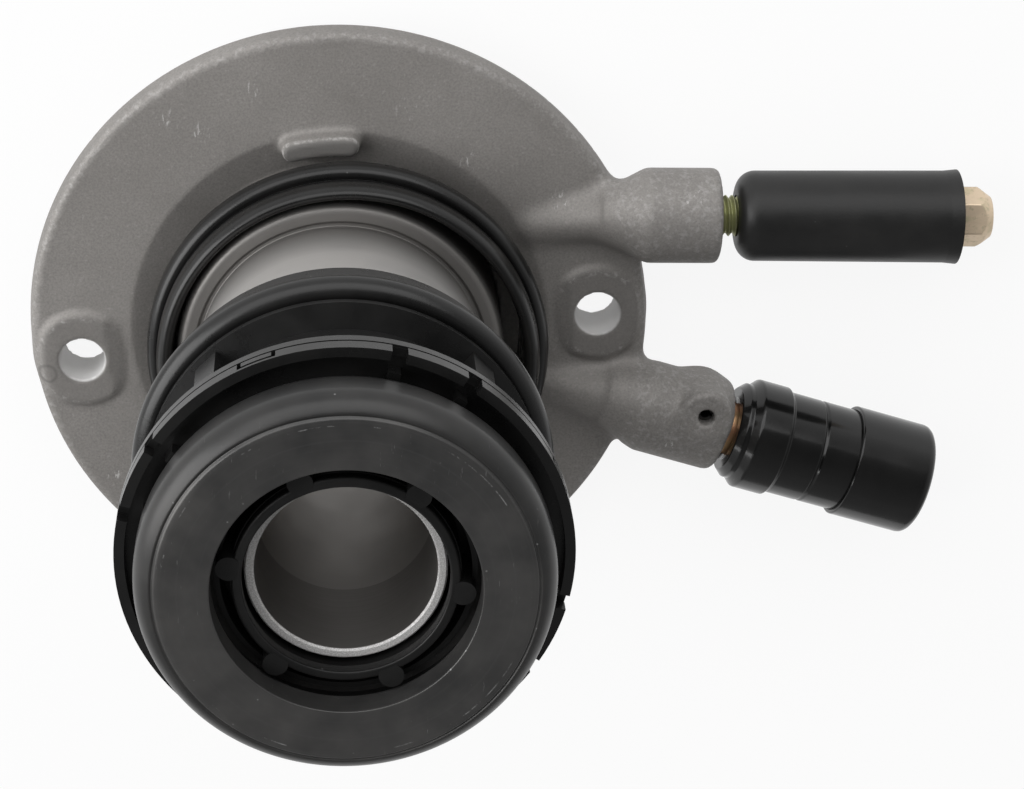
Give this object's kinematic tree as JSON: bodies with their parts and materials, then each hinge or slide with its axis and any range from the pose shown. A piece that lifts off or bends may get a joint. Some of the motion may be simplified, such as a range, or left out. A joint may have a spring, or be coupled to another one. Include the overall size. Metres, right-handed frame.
{
  "type": "concentric slave cylinder",
  "caption": "Clutch actuator on a round cast flange: annular piston round a guide tube pushes a release bearing, with a quick coupling inlet and a bleed screw.",
  "frame": {"origin": "centre of the bore at the mounting face", "axes": "+Z along the bore towards the release bearing, +X towards the side of the inlet and bleed fittings"},
  "size_m": [0.1847, 0.12, 0.1173],
  "materials": {
    "cast_aluminium": "as cast, blasted, greyish brown",
    "turned_aluminium": "fine turned, satin",
    "piston_aluminium": "turned",
    "tube_steel": "satin, bright turned rim",
    "spring_steel": "drawn, lightly oiled",
    "race_steel": "dark phosphated, faint polish marks",
    "ball_steel": "polished",
    "cage_brass": "pressed",
    "zinc_steel": "yellow zinc plated",
    "copper_nipple": "copper coloured, satin",
    "black_rubber": "matte black",
    "black_plastic": "moulded, fine grain",
    "gloss_black": "glossy black"
  },
  "bodies": {
    "housing": {"flange_housing": "cast_aluminium", "guide_tube": "tube_steel", "cylinder_sleeve": "turned_aluminium", "sleeve_o_ring": "black_rubber", "dust_boot": "black_rubber", "stop_ring": "spring_steel", "preload_spring": "spring_steel", "inlet_nipple": "copper_nipple", "nipple_o_ring": "black_rubber", "roll_pin": "spring_steel", "coupling_body": "gloss_black", "socket_o_ring": "black_rubber"},
    "slider": {"piston": "piston_aluminium", "piston_seal": "black_rubber", "seal_backing": "spring_steel", "bearing_carrier": "black_plastic", "retainer_ring": "black_plastic", "wave_washer": "spring_steel", "centring_ring": "black_plastic", "bearing_rear_race": "race_steel"},
    "front_race": {"bearing_front_race": "race_steel"},
    "cage": {"bearing_balls": "ball_steel", "ball_cage": "cage_brass"},
    "sleeve": {"bleed_sleeve": "black_rubber"},
    "screw": {"bleed_screw": "zinc_steel"},
    "collar": {"coupling_collar": "gloss_black"},
    "valve": {"coupling_valve": "tube_steel"}
  },
  "joints": [
    {"name": "piston_slide", "type": "slide", "parent": "housing", "child": "slider", "axis": [0, 0, 1], "range_m": [-0.022, 0], "stiffness_N_per_m": 1500, "springref_m": 0.03, "deforming": ["preload_spring"]},
    {"name": "race_turn", "type": "hinge", "parent": "slider", "child": "front_race", "pos_m": [0, 0, 0.11], "axis": [0, 0, 1], "continuous": true},
    {"name": "cage_turn", "type": "hinge", "parent": "slider", "child": "cage", "pos_m": [0, 0, 0.11], "axis": [0, 0, 1], "continuous": true},
    {"name": "bleed_travel", "type": "slide", "parent": "housing", "child": "sleeve", "axis": [1, 0, 0], "range_m": [0, 0.00125]},
    {"name": "bleed_turn", "type": "hinge", "parent": "sleeve", "child": "screw", "pos_m": [0.09, 0.0242, 0.0116], "axis": [1, 0, 0], "range_deg": [0, 360]},
    {"name": "collar_slide", "type": "slide", "parent": "housing", "child": "collar", "axis": [0.9583, -0.2857, 0], "range_m": [-0.004, 0], "stiffness_N_per_m": 400, "springref_m": 0.006},
    {"name": "valve_slide", "type": "slide", "parent": "housing", "child": "valve", "axis": [0.9583, -0.2857, 0], "range_m": [-0.003, 0], "stiffness_N_per_m": 300, "springref_m": 0.005}
  ],
  "couplings": [
    {"joint": "cage_turn", "follows": "race_turn", "ratio": 0.5},
    {"joint": "bleed_turn", "follows": "bleed_travel", "rad_per_m": 5026.5}
  ]
}
